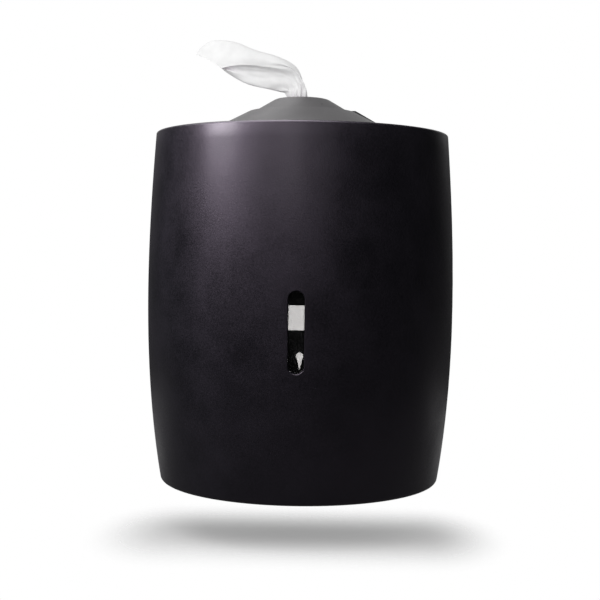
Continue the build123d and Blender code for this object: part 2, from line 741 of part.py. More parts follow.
# Nozzle cap: the inner grey cone, which twists out of the collar on three lugs
with BuildPart() as nozzle_cap:
    with BuildSketch(nozzle_plane):
        with BuildLine():
            Line((cap_radius, cap_edge_z), (cap_shoulder_radius, cap_shoulder_z))
            TangentArc((cap_shoulder_radius, cap_shoulder_z), (cap_flat_radius, cap_top_z),
                       tangent=(-1, cap_slope))
            Line((cap_flat_radius, cap_top_z), (cap_hole_radius + cap_lip_radius, cap_top_z))
            TangentArc((cap_hole_radius + cap_lip_radius, cap_top_z),
                       (cap_hole_radius, cap_top_z - cap_lip_radius), tangent=(-1, 0))
            Polyline((cap_hole_radius, cap_top_z - cap_lip_radius), (cap_hole_radius, cap_top_z - cap_wall),
                     (cap_flat_radius, cap_top_z - cap_wall),
                     (cap_shoulder_radius, cap_shoulder_z - cap_wall),
                     (cap_skirt_inner_radius, cap_flank(cap_skirt_inner_radius) - cap_wall),
                     (cap_skirt_inner_radius, cap_low_z), (cap_radius, cap_low_z), (cap_radius, cap_edge_z))
        make_face()
    revolve(axis=nozzle_axis)
    # The rib presses on the rubber diaphragm, and the lugs turn in the collar's tracks
    add(ring_part(0, 360, diaphragm_rib_radius - diaphragm_rib_wall, diaphragm_rib_radius,
                  diaphragm_top_z, cap_flank(diaphragm_rib_radius) - cap_wall / 2))
    for index in range(lug_count):
        add(ring_part(index * 360 / lug_count, lug_angle, cap_radius - cap_skirt_wall / 2,
                      cap_radius + lug_reach, lug_low_z, lug_high_z))
    with BuildSketch(Plane.XY.offset(diaphragm_low_z)):
        with Locations((0, nozzle_y)):
            with PolarLocations(diaphragm_screw_radius, lug_count, start_angle=diaphragm_screw_angle):
                Circle(small_screw[1])
    extrude(amount=cap_flank(diaphragm_screw_radius) - cap_wall / 2 - diaphragm_low_z)
    add(bores(diaphragm_screw_places, (0, 0, -1), small_screw[0] + slide_fit,
              retainer_ring_thickness + diaphragm_screw_reach + slide_fit), mode=Mode.SUBTRACT)
nozzle_cap.part.label = "nozzle_cap"
export_step(nozzle_cap.part, "parts/nozzle_cap.step")


# Nozzle diaphragm: a rubber disc with slits round the hole that grips the wipe
with BuildPart() as nozzle_diaphragm:
    with BuildSketch(Plane(origin=(0, nozzle_y, diaphragm_low_z))):
        Circle(diaphragm_radius)
        Circle(diaphragm_hole_radius, mode=Mode.SUBTRACT)
        with PolarLocations(diaphragm_hole_radius + slit_length / 2 - slit_width, slit_count):
            Rectangle(slit_length, slit_width, mode=Mode.SUBTRACT)
    extrude(amount=diaphragm_thickness)
nozzle_diaphragm.part.label = "nozzle_diaphragm"
export_step(nozzle_diaphragm.part, "parts/nozzle_diaphragm.step")


# Diaphragm retainer: the ring that clamps the rubber against the cap's rib
with BuildPart() as diaphragm_retainer:
    with BuildSketch(Plane(origin=(0, nozzle_y, diaphragm_low_z))):
        Circle(retainer_ring_outer_radius)
        Circle(retainer_ring_inner_radius, mode=Mode.SUBTRACT)
    extrude(amount=-retainer_ring_thickness)
    add(bores(diaphragm_screw_places, (0, 0, -1), small_screw[0] + screw_clearance,
              retainer_ring_thickness), mode=Mode.SUBTRACT)
diaphragm_retainer.part.label = "diaphragm_retainer"
export_step(diaphragm_retainer.part, "parts/diaphragm_retainer.step")

diaphragm_screws = pan_screws(small_screw, retainer_ring_thickness + diaphragm_screw_reach,
                              diaphragm_screw_places, (0, 0, -1))
diaphragm_screws.label = "diaphragm_screws"
export_step(diaphragm_screws, "parts/diaphragm_screws.step")


# Front cover: the barrel-shaped shell, open at the back, with a notch round the deck in its top
with BuildPart() as lens_pad:
    with BuildSketch(Plane.XZ.offset(-lens_pad_y)):
        with Locations((0, slot_z)):
            RectangleRounded(lens_pad_width, lens_pad_height, lens_pad_corner)
    extrude(amount=body_depth + lens_pad_y)
    add(barrel_form(cover_wall / 2, slot_z - lens_pad_height, slot_z + lens_pad_height, cover_back_y),
        mode=Mode.INTERSECT)

with BuildPart() as front_cover:
    add(barrel_form(0, -body_half_height, body_half_height, cover_back_y))
    for end, radius in ((-1, top_edge_radius), (0, bottom_edge_radius)):
        rim = front_cover.faces().filter_by(Axis.Z).sort_by(Axis.Z)[end].edges()
        fillet(rim.filter_by(lambda edge: edge.center().Y < cover_back_y - running_gap), radius=radius)
    add(barrel_form(cover_wall, cover_wall - body_half_height, body_half_height - cover_wall, cover_wall),
        mode=Mode.SUBTRACT)
    # The top is notched round the deck, and the bottom is a lip in front of the hinges
    with BuildSketch(Plane.XY.offset(body_half_height)):
        add(d_outline(deck_radius + notch_gap, deck_radius + notch_gap - nozzle_y, cover_wall))
    extrude(amount=-2 * cover_wall, mode=Mode.SUBTRACT)
    with BuildSketch(Plane.XY.offset(-body_half_height)):
        add(d_outline(half_width(-body_half_height) - bottom_lip_width,
                      depth(-body_half_height) - bottom_lip_width, cover_wall))
        with Locations((0, (bottom_lip_start_y + cover_wall) / 2)):
            Rectangle(2 * (half_width(-body_half_height) - cover_wall), cover_wall - bottom_lip_start_y)
    extrude(amount=2 * cover_wall, mode=Mode.SUBTRACT)
    for level in cover_rib_levels:
        rib_width = half_width(level) - cover_wall / 2
        rib_reach = depth(level) - cover_wall / 2
        rib_inset = cover_wall / 2 + cover_rib_depth
        with BuildSketch(Plane.XY.offset(level)):
            add(d_outline(rib_width, rib_reach, cover_rib_start_y))
            add(d_outline(rib_width - rib_inset, rib_reach - rib_inset, cover_rib_start_y),
                mode=Mode.SUBTRACT)
        extrude(amount=cover_rib_height)
    add(lens_pad.part)
    with BuildSketch(Plane.XZ.offset(-lens_pad_y - cover_wall)):
        with Locations((0, slot_z)):
            SlotOverall(slot_height, slot_width, rotation=90)
    extrude(amount=body_depth, mode=Mode.SUBTRACT)
    fillet(front_cover.edges().filter_by_position(Axis.X, -slot_width, slot_width).filter_by_position(
        Axis.Y, -body_depth - slot_edge_radius, cover_wall - depth(slot_z)), radius=slot_edge_radius)
    add(bores(retainer_screw_places, (0, 1, 0), small_screw[0] + slide_fit,
              retainer_thickness + retainer_screw_reach + slide_fit), mode=Mode.SUBTRACT)
    for side in (1, -1):
        lug_length = half_width(hinge_z) - cover_wall / 2 - lug_inner_x
        with BuildSketch(Plane.YZ.offset(side * lug_inner_x)):
            with Locations((hinge_y, hinge_z)):
                Circle(hinge_lug_radius)
        extrude(amount=side * lug_length)
        add(bores([(side * lug_inner_x, hinge_y, hinge_z)], (-side, 0, 0),
                  hinge_pin_radius + slide_fit, pin_engagement + seat_gap), mode=Mode.SUBTRACT)
    add(bores([lock_plane.origin], (0, 0, 1), barrel_radius + slide_fit, 2 * cover_wall),
        mode=Mode.SUBTRACT)
front_cover.part.label = "front_cover"
export_step(front_cover.part, "parts/front_cover.step")


# Hinge pins: pressed into the housing's ears, and turning in the cover's lugs
with BuildPart() as hinge_pins:
    for side in (1, -1):
        seat = Plane(origin=(side * hinge_ear_inner_x, hinge_y, hinge_z), z_dir=(side, 0, 0))
        with BuildSketch(seat):
            Circle(hinge_pin_radius)
        extrude(amount=hinge_ear_width + running_gap + pin_engagement)
        with BuildSketch(seat):
            Circle(pin_head_radius)
        extrude(amount=-pin_head_height)
hinge_pins.part.label = "hinge_pins"
export_step(hinge_pins.part, "parts/hinge_pins.step")


# Window lens: a clear plug that fills the sight slot, with a flange behind the cover's pad
with BuildPart() as window_lens:
    with BuildSketch(Plane.XZ.offset(-lens_plate_y)):
        with Locations((0, slot_z)):
            SlotOverall(lens_flange_height, lens_flange_width, rotation=90)
    extrude(amount=lens_flange_thickness)
    with BuildSketch(Plane.XZ.offset(-lens_plate_y)):
        with Locations((0, slot_z)):
            SlotOverall(slot_height - 2 * seat_gap, slot_width - 2 * seat_gap, rotation=90)
    extrude(amount=body_depth + lens_plate_y)
    add(barrel_form(lens_setback, slot_z - lens_pad_height, slot_z + lens_pad_height, cover_back_y),
        mode=Mode.INTERSECT)
    with BuildSketch(Plane.XZ.offset(-lens_plate_y)):
        with Locations((0, slot_z)):
            SlotOverall(slot_height - lens_hollow_margin, slot_width - lens_hollow_margin, rotation=90)
    extrude(amount=lens_hollow_depth, mode=Mode.SUBTRACT)
window_lens.part.label = "window_lens"
export_step(window_lens.part, "parts/window_lens.step")


# Lens retainer: the frame screwed over the lens's flange, inside the cover
with BuildPart() as lens_retainer:
    with BuildSketch(Plane.XZ.offset(-lens_pad_y)):
        with Locations((0, slot_z)):
            RectangleRounded(lens_pad_width, lens_pad_height, lens_pad_corner)
    extrude(amount=-retainer_thickness)
    with BuildSketch(Plane.XZ.offset(-lens_pad_y)):
        with Locations((0, slot_z)):
            SlotOverall(lens_flange_height + 2 * seat_gap, lens_flange_width + 2 * seat_gap, rotation=90)
    extrude(amount=-lens_flange_thickness, mode=Mode.SUBTRACT)
    with BuildSketch(Plane.XZ.offset(-lens_pad_y)):
        with Locations((0, slot_z)):
            SlotOverall(slot_height, slot_width + lens_hollow_margin, rotation=90)
    extrude(amount=-retainer_thickness, mode=Mode.SUBTRACT)
    add(bores(retainer_screw_places, (0, 1, 0), small_screw[0] + screw_clearance, retainer_thickness),
        mode=Mode.SUBTRACT)
lens_retainer.part.label = "lens_retainer"
export_step(lens_retainer.part, "parts/lens_retainer.step")

retainer_screws = pan_screws(small_screw, retainer_thickness + retainer_screw_reach,
                             retainer_screw_places, (0, 1, 0))
retainer_screws.label = "retainer_screws"
export_step(retainer_screws, "parts/retainer_screws.step")


# Lock barrel: the threaded body of the cam lock, with its bezel on the cover's top
with BuildPart() as lock_barrel:
    with BuildSketch(lock_plane):
        Circle(barrel_radius)
    extrude(amount=-barrel_length)
    with BuildSketch(lock_plane):
        Circle(bezel_radius)
    extrude(amount=bezel_height)
    chamfer(lock_barrel.faces().sort_by(Axis.Z)[-1].edges(), length=bezel_height / 2)
    with BuildSketch(lock_plane.offset(bezel_height)):
        Circle(plug_radius + slide_fit)
    extrude(amount=-bezel_height - barrel_length, mode=Mode.SUBTRACT)
lock_barrel.part.label = "lock_barrel"
export_step(lock_barrel.part, "parts/lock_barrel.step")


# Lock nut: the hexagon nut that clamps the barrel under the cover's top
with BuildPart() as lock_nut:
    with BuildSketch(lock_plane.offset(-cover_wall)):
        RegularPolygon(nut_across_flats / 2, 6, major_radius=False)
        Circle(barrel_radius + slide_fit, mode=Mode.SUBTRACT)
    extrude(amount=-nut_thickness)
lock_nut.part.label = "lock_nut"
export_step(lock_nut.part, "parts/lock_nut.step")


# Lock plug: turned by the key, with a square tenon below for the cam
with BuildPart() as lock_plug:
    with BuildSketch(lock_plane.offset(bezel_height - seat_gap)):
        Circle(plug_radius)
    extrude(amount=-(bezel_height - seat_gap + barrel_length + cam_gap))
    with BuildSketch(Plane(origin=(lock_x, lock_y, cam_high_z))):
        Rectangle(tenon_side, tenon_side)
    extrude(amount=-cam_thickness)
    with BuildSketch(lock_plane.offset(bezel_height - seat_gap)):
        Rectangle(key_slot_width, key_slot_length)
    extrude(amount=-key_slot_depth, mode=Mode.SUBTRACT)
    add(bores([cam_screw_place], (0, 0, -1), small_screw[0] + slide_fit, cam_screw_reach + slide_fit),
        mode=Mode.SUBTRACT)
lock_plug.part.label = "lock_plug"
export_step(lock_plug.part, "parts/lock_plug.step")


# Lock cam: the flat arm that turns behind the striker
with BuildPart() as lock_cam:
    with BuildSketch(Plane(origin=(lock_x, lock_y, cam_high_z))):
        Circle(cam_hub_radius)
        with Locations((0, cam_length / 2)):
            SlotOverall(cam_length + 2 * cam_half_width, 2 * cam_half_width, rotation=90)
        with Locations((0, -cam_half_width - cam_length)):
            Rectangle(4 * cam_half_width, 2 * cam_length, mode=Mode.SUBTRACT)
        Rectangle(tenon_side + 2 * slide_fit, tenon_side + 2 * slide_fit, mode=Mode.SUBTRACT)
    extrude(amount=-cam_thickness)
lock_cam.part.label = "lock_cam"
export_step(lock_cam.part, "parts/lock_cam.step")

cam_screw = pan_screws(cam_screw_sizes, cam_screw_reach, [cam_screw_place], (0, 0, -1))
cam_screw.label = "cam_screw"
export_step(cam_screw, "parts/cam_screw.step")


# Lock striker: the steel catch under the deck that the turned cam hooks behind
with BuildPart() as lock_striker:
    with BuildSketch(Plane.XY.offset(deck_bottom_z)):
        with Locations((striker_inner_x + striker_width, striker_front_y)):
            Rectangle(striker_foot_length, striker_foot_width, align=(Align.MAX, Align.MIN))
    extrude(amount=-striker_foot_thickness)
    with BuildSketch(Plane.XY.offset(deck_bottom_z)):
        with Locations((striker_inner_x, striker_front_y)):
            Rectangle(striker_width, striker_thickness, align=(Align.MIN, Align.MIN))
    extrude(amount=striker_low_z - deck_bottom_z)
    add(bores(striker_screw_places, (0, 0, -1), small_screw[0] + screw_clearance, striker_foot_thickness),
        mode=Mode.SUBTRACT)
lock_striker.part.label = "lock_striker"
export_step(lock_striker.part, "parts/lock_striker.step")

striker_screws = pan_screws(small_screw, striker_foot_thickness + striker_screw_reach,
                            striker_screw_places, (0, 0, -1))
striker_screws.label = "striker_screws"
export_step(striker_screws, "parts/striker_screws.step")
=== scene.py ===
import bmesh
import bpy
import math
from mathutils import Matrix, Vector, noise


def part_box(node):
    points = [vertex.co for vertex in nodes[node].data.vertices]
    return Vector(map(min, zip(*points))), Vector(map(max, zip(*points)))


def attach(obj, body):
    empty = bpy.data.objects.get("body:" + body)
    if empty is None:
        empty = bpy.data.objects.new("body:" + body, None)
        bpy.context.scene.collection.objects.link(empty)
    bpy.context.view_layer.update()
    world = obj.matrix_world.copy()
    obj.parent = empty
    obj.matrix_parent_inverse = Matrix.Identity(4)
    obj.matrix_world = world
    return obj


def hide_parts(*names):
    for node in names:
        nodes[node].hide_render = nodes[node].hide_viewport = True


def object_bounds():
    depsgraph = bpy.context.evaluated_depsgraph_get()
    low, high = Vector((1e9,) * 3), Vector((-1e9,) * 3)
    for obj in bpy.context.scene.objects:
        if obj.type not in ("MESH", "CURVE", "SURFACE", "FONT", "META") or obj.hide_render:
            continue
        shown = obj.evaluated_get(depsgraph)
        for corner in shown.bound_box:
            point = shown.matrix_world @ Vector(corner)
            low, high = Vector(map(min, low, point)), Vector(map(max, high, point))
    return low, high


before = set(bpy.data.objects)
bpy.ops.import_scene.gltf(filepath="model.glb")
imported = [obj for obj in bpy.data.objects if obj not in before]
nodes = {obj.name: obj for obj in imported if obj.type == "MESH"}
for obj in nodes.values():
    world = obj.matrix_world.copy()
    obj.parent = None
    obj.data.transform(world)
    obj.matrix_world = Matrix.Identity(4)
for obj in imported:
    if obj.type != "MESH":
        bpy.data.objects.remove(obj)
cad_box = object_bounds()


# The photograph's viewpoint: a little above the middle of the dispenser, a little to its right,
# and just over a metre in front of it.
# The picture is tilted by less than a degree, as it is in the photograph.
view_target = Vector((0.0005, -0.110, 0.0106))
view_distance = 1.0865
view_yaw = math.radians(1.32)
view_elevation = math.radians(2.42)
view_roll = math.radians(-0.70)

view_back = Vector((math.sin(view_yaw) * math.cos(view_elevation),
                    -math.cos(view_yaw) * math.cos(view_elevation),
                    math.sin(view_elevation)))
level_right = (-view_back).cross(Vector((0, 0, 1))).normalized()
level_up = level_right.cross(-view_back)
view_right = level_right * math.cos(view_roll) - level_up * math.sin(view_roll)
view_up = level_right * math.sin(view_roll) + level_up * math.cos(view_roll)
camera = bpy.data.objects.new("camera", bpy.data.cameras.new("camera"))
bpy.context.scene.collection.objects.link(camera)
camera.data.sensor_width = 36
camera.data.lens = 69.216
camera.matrix_world = Matrix.Translation(view_target + view_back * view_distance) @ Matrix(
    (view_right, view_up, view_back)).transposed().to_4x4()
bpy.context.scene.camera = camera
bpy.context.scene.view_settings.view_transform = "Standard"


# Back housing: the black wall plate, injection moulded with its locating skirt, ribs and hinge ears.
# The mould's fine spark texture shows as a grain, and the corners are rubbed a little paler.
def place(tree, kind, values=(), joins=(), **settings):
    """Adds a node, gives it its settings and values, and joins other nodes' sockets to it."""
    made = tree.nodes.new("ShaderNode" + kind)
    for name, setting in settings.items():
        setattr(made, name, setting)
    for name, value in dict(values).items():
        made.inputs[name].default_value = value
    for name, source in dict(joins).items():
        tree.links.new(source, made.inputs[name])
    return made


def effect(name, inputs, outputs):
    """A new shader node group, with its nodes for what goes in and what comes out."""
    group = bpy.data.node_groups.new(name, "ShaderNodeTree")
    for socket, kind, value in inputs:
        made = group.interface.new_socket(socket, in_out="INPUT", socket_type="NodeSocket" + kind)
        made.default_value = value
    for socket, kind in outputs:
        group.interface.new_socket(socket, in_out="OUTPUT", socket_type="NodeSocket" + kind)
    return group, group.nodes.new("NodeGroupInput").outputs, group.nodes.new("NodeGroupOutput").inputs


# Moulded grain: a fine even texture, over slow changes of shade and gloss across the piece
moulded_grain, goes_in, comes_out = effect(
    "Moulded grain",
    [("Colour", "Color", (0.5, 0.5, 0.5, 1)), ("Shade Change", "Float", 0.2), ("Grain", "Float", 1200.0),
     ("Roughness", "Float", 0.5), ("Roughness Change", "Float", 0.1)],
    [("Colour", "Color"), ("Roughness", "Float"), ("Height", "Float")])
spot = place(moulded_grain, "TexCoord").outputs["Object"]
fine = place(moulded_grain, "TexNoise", {"Detail": 3.0, "Roughness": 0.6},
             {"Vector": spot, "Scale": goes_in["Grain"]}).outputs["Fac"]
slow = place(moulded_grain, "TexNoise", {"Scale": 22.0, "Detail": 4.0, "Roughness": 0.55},
             {"Vector": spot}).outputs["Fac"]
both = place(moulded_grain, "Math", joins={0: fine, 1: slow}, operation="ADD").outputs[0]
change = place(moulded_grain, "MapRange",
               {"From Min": 0.75, "From Max": 1.25, "To Min": -1.0, "To Max": 1.0},
               {"Value": both}).outputs["Result"]
shade = place(moulded_grain, "Math", {2: 1.0}, {0: change, 1: goes_in["Shade Change"]},
              operation="MULTIPLY_ADD").outputs[0]
shaded = place(moulded_grain, "VectorMath", joins={0: goes_in["Colour"], "Scale": shade},
               operation="SCALE").outputs["Vector"]
gloss = place(moulded_grain, "Math", joins={0: change, 1: goes_in["Roughness Change"],
                                            2: goes_in["Roughness"]}, operation="MULTIPLY_ADD").outputs[0]
moulded_grain.links.new(shaded, comes_out["Colour"])
moulded_grain.links.new(gloss, comes_out["Roughness"])
moulded_grain.links.new(fine, comes_out["Height"])

# Soft edge: the small radius that every moulded or worn corner has, and a mask of those corners
soft_edge, goes_in, comes_out = effect("Soft edge", [("Radius", "Float", 0.0005)],
                                       [("Normal", "Vector"), ("Edge", "Float")])
rounded = place(soft_edge, "Bevel", joins={"Radius": goes_in["Radius"]}, samples=4).outputs["Normal"]
flat = place(soft_edge, "NewGeometry").outputs["Normal"]
lean = place(soft_edge, "VectorMath", joins={0: rounded, 1: flat}, operation="DOT_PRODUCT").outputs["Value"]
edge = place(soft_edge, "MapRange", {"From Min": 0.995, "From Max": 0.86, "To Min": 0.0, "To Max": 1.0},
             {"Value": lean}).outputs["Result"]
soft_edge.links.new(rounded, comes_out["Normal"])
soft_edge.links.new(edge, comes_out["Edge"])


def use_effect(tree, group, values):
    """Places a node group in a material and gives back what comes out of it."""
    return place(tree, "Group", values, node_tree=group).outputs


def new_material(name, **values):
    """A material with its own values on its shader, underscores standing for spaces."""
    made = bpy.data.materials.new(name)
    made.use_nodes = True
    shader = made.node_tree.nodes["Principled BSDF"]
    for socket, value in values.items():
        shader.inputs[socket.replace("_", " ")].default_value = value
    return made, made.node_tree, shader


def moulded_plastic(name, colour, roughness, grain=1500.0, depth=0.00003, shade=0.25, gloss=0.06,
                    worn=2.2, **values):
    """Injection-moulded plastic: grained to a depth in metres, with rubbed corners a few times paler."""
    made, tree, shader = new_material(name, **values)
    skin = use_effect(tree, moulded_grain, {"Colour": tuple(colour) + (1,), "Shade Change": shade,
                                            "Grain": grain, "Roughness": roughness,
                                            "Roughness Change": gloss})
    corner = use_effect(tree, soft_edge, {"Radius": 0.0005})
    rubbed = place(tree, "Mix", {"B": tuple(worn * part for part in colour) + (1,)},
                   {"Factor": corner["Edge"], "A": skin["Colour"]}, data_type="RGBA")
    relief = place(tree, "Bump", {"Strength": 0.6, "Distance": depth},
                   {"Height": skin["Height"], "Normal": corner["Normal"]})
    tree.links.new(rubbed.outputs["Result"], shader.inputs["Base Color"])
    tree.links.new(skin["Roughness"], shader.inputs["Roughness"])
    tree.links.new(relief.outputs["Normal"], shader.inputs["Normal"])
    return made


def finish_nodes(material, *names):
    """Gives CAD pieces a finish."""
    for name in names:
        nodes[name].data.materials.clear()
        nodes[name].data.materials.append(material)


housing_black = moulded_plastic("housing black", (0.012, 0.012, 0.013), 0.5)
finish_nodes(housing_black, "back_housing")


# Support shelf: a black moulded tray screwed to the wall plate, with four rubber pads under the bucket.
# The screws are zinc-plated steel with a brushed look on their heads.
finish_nodes(housing_black, "support_shelf")

rubber = moulded_plastic("dark rubber", (0.02, 0.02, 0.02), 0.75, grain=2500.0, worn=1.3)
finish_nodes(rubber, "bucket_pads")

# Brushed metal: fine scratches one way, with slow changes of gloss
brushed_metal, goes_in, comes_out = effect(
    "Brushed metal",
    [("Colour", "Color", (0.6, 0.6, 0.62, 1)), ("Roughness", "Float", 0.3),
     ("Scratches", "Float", 900.0)],
    [("Colour", "Color"), ("Roughness", "Float"), ("Height", "Float")])
spot = place(brushed_metal, "TexCoord").outputs["Object"]
drawn = place(brushed_metal, "Mapping", {"Scale": (1.0, 0.06, 0.06)}, {"Vector": spot}).outputs["Vector"]
scratch = place(brushed_metal, "TexNoise", {"Detail": 4.0, "Roughness": 0.7},
                {"Vector": drawn, "Scale": goes_in["Scratches"]}).outputs["Fac"]
cloud = place(brushed_metal, "TexNoise", {"Scale": 160.0, "Detail": 3.0}, {"Vector": spot}).outputs["Fac"]
tone = place(brushed_metal, "MapRange", {"From Min": 0.3, "From Max": 0.7, "To Min": 0.8, "To Max": 1.08},
             {"Value": cloud}).outputs["Result"]
toned = place(brushed_metal, "VectorMath", joins={0: goes_in["Colour"], "Scale": tone},
              operation="SCALE").outputs["Vector"]
dull = place(brushed_metal, "MapRange", {"From Min": 0.3, "From Max": 0.7, "To Min": -0.08, "To Max": 0.12},
             {"Value": scratch}).outputs["Result"]
matt = place(brushed_metal, "Math", joins={0: dull, 1: goes_in["Roughness"]}, operation="ADD").outputs[0]
brushed_metal.links.new(toned, comes_out["Colour"])
brushed_metal.links.new(matt, comes_out["Roughness"])
brushed_metal.links.new(scratch, comes_out["Height"])


def metal(name, colour, roughness, scratches=900.0, depth=0.00001):
    """Plated or polished metal with rounded corners."""
    made, tree, shader = new_material(name, Metallic=1.0)
    skin = use_effect(tree, brushed_metal, {"Colour": tuple(colour) + (1,), "Roughness": roughness,
                                            "Scratches": scratches})
    corner = use_effect(tree, soft_edge, {"Radius": 0.0003})
    relief = place(tree, "Bump", {"Strength": 0.4, "Distance": depth},
                   {"Height": skin["Height"], "Normal": corner["Normal"]})
    tree.links.new(skin["Colour"], shader.inputs["Base Color"])
    tree.links.new(skin["Roughness"], shader.inputs["Roughness"])
    tree.links.new(relief.outputs["Normal"], shader.inputs["Normal"])
    return made


screw_steel = metal("zinc-plated steel", (0.58, 0.58, 0.6), 0.32)
finish_nodes(screw_steel, "shelf_screws")


# Inner bucket: a black moulded tub with a rim bead and two sight openings in its front.
# It stands on the shelf's pads, and lifts out when the cover is open.
bucket_dark = moulded_plastic("bucket black", (0.01, 0.01, 0.011), 0.42)
finish_nodes(bucket_dark, "inner_bucket")


# Wipes roll: soft non-woven cloth wound round an open middle, its layers showing on the top.
# The winding is a little uneven, and the cloth is white with a fine fibre.
roll_low, roll_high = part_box("wipes_roll")
nozzle_y = (roll_low.y + roll_high.y) / 2
roll_radius = (roll_high.x - roll_low.x) / 2
core_radius = 0.022
core_top = roll_high.z - 0.001
foot_bevel = 0.002
side_foot = roll_low.z + 0.006
side_height = 0.188
side_steps = 40
side_step_depth = 0.0005
top_corner = [(0.0012, 0.0022), (0.003, 0.0006)]
layers_reach = roll_radius - 0.004
layer_pitch = 0.0012
layer_depth = 0.0007
layer_count = 48


def add_piece(name, made, material, body):
    """Makes a finished bmesh a smooth object that rides on a body."""
    for face in made.faces:
        face.smooth = True
    piece = bpy.data.objects.new(name, bpy.data.meshes.new(name))
    made.to_mesh(piece.data)
    made.free()
    piece.data.materials.append(material)
    bpy.context.scene.collection.objects.link(piece)
    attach(piece, body)
    return piece


# Fibre: short soft threads every way, in shade and in relief
fibre, goes_in, comes_out = effect(
    "Fibre", [("Colour", "Color", (0.9, 0.9, 0.89, 1)), ("Thread", "Float", 700.0)],
    [("Colour", "Color"), ("Height", "Float")])
spot = place(fibre, "TexCoord").outputs["Object"]
warp = place(fibre, "TexNoise", {"Scale": 60.0, "Detail": 2.0}, {"Vector": spot}).outputs["Color"]
stray = place(fibre, "VectorMath", {1: (0.012, 0.012, 0.012)}, {0: warp, 2: spot},
              operation="MULTIPLY_ADD").outputs["Vector"]
thread = place(fibre, "TexNoise", {"Detail": 5.0, "Roughness": 0.7},
               {"Vector": stray, "Scale": goes_in["Thread"]}).outputs["Fac"]
patch = place(fibre, "TexNoise", {"Scale": 90.0, "Detail": 3.0}, {"Vector": spot}).outputs["Fac"]
tone = place(fibre, "MapRange", {"From Min": 0.3, "From Max": 0.7, "To Min": 0.95, "To Max": 1.03},
             {"Value": patch}).outputs["Result"]
toned = place(fibre, "VectorMath", joins={0: goes_in["Colour"], "Scale": tone},
              operation="SCALE").outputs["Vector"]
fibre.links.new(toned, comes_out["Colour"])
fibre.links.new(thread, comes_out["Height"])


def cloth(name, colour, depth=0.00012, **values):
    """Soft non-woven cloth."""
    made, tree, shader = new_material(name, Roughness=0.9, Specular_IOR_Level=0.2, Sheen_Weight=0.15,
                                      Sheen_Roughness=0.5, **values)
    skin = use_effect(tree, fibre, {"Colour": tuple(colour) + (1,)})
    relief = place(tree, "Bump", {"Strength": 0.5, "Distance": depth}, {"Height": skin["Height"]})
    tree.links.new(skin["Colour"], shader.inputs["Base Color"])
    tree.links.new(relief.outputs["Normal"], shader.inputs["Normal"])
    return made, tree, shader


roll_white = cloth("roll white", (0.86, 0.84, 0.83))[0]

# Half a cut through the roll: its foot, its side, its rounded top corner, and its layers on top
profile = [(core_radius, roll_low.z), (roll_radius - foot_bevel, roll_low.z),
           (roll_radius, roll_low.z + foot_bevel)]
for step in range(side_steps + 1):
    profile.append((roll_radius - side_step_depth * (step % 2), side_foot + side_height * step / side_steps))
profile += [(roll_radius - inset, roll_high.z - drop) for inset, drop in top_corner]
for step in range(2 * layer_count):
    profile.append((layers_reach - layer_pitch * step / 2, roll_high.z - layer_depth * (step % 2)))
profile += [(core_radius, core_top)]

winding = bmesh.new()
ring = [winding.verts.new((radius, 0, z)) for radius, z in profile]
line = [winding.edges.new(pair) for pair in zip(ring, ring[1:] + ring[:1])]
bmesh.ops.spin(winding, geom=ring + line, cent=(0, 0, 0), axis=(0, 0, 1), dvec=(0, 0, 0),
               angle=2 * math.pi, steps=128, use_merge=True, use_duplicate=False)

# The layers' edges wander by up to a millimetre, in slow waves with quick ones on them
slow_wave, quick_wave = 0.0009, 0.0003
for vert in winding.verts:
    sway = noise.noise(vert.co * 45) * slow_wave + noise.noise(vert.co * 160) * quick_wave
    vert.co.z += sway if vert.co.z > roll_high.z - 0.002 else 0
    vert.co.xy *= 1 - 0.4 * abs(sway) / roll_radius
bmesh.ops.recalc_face_normals(winding, faces=winding.faces)
bmesh.ops.translate(winding, verts=winding.verts, vec=(0, nozzle_y, 0))
roll = add_piece("wound_roll", winding, roll_white, "frame")
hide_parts("wipes_roll")


# Top bracket: the black moulded deck that carries the nozzle, in one with the hood behind it.
# Screws hold it to the wall plate.
finish_nodes(housing_black, "top_bracket")
finish_nodes(screw_steel, "bracket_screws")


# Nozzle: a mid-grey moulded cone on the deck, and a cap that twists into it on three lugs.
# A rubber diaphragm with slits grips the wipe under the cap, held by a grey ring and three screws.
nozzle_grey = moulded_plastic("nozzle grey", (0.107, 0.104, 0.107), 0.36, grain=1800.0, shade=0.06,
                              worn=1.12)
finish_nodes(nozzle_grey, "nozzle_base", "nozzle_cap", "diaphragm_retainer")
finish_nodes(screw_steel, "nozzle_base_screws", "diaphragm_screws")
finish_nodes(rubber, "nozzle_diaphragm")


# Wipe: one sheet of the cloth, drawn up from the roll's middle and gathered into a fluted strand.
# Above the nozzle it opens into soft folds and lies over to the left, ending in the sheet's corner.
cap_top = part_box("nozzle_cap")[1].z
flutes = 9
flute_depth = 0.21
hem_right, hem_left = 0.8, -1.0

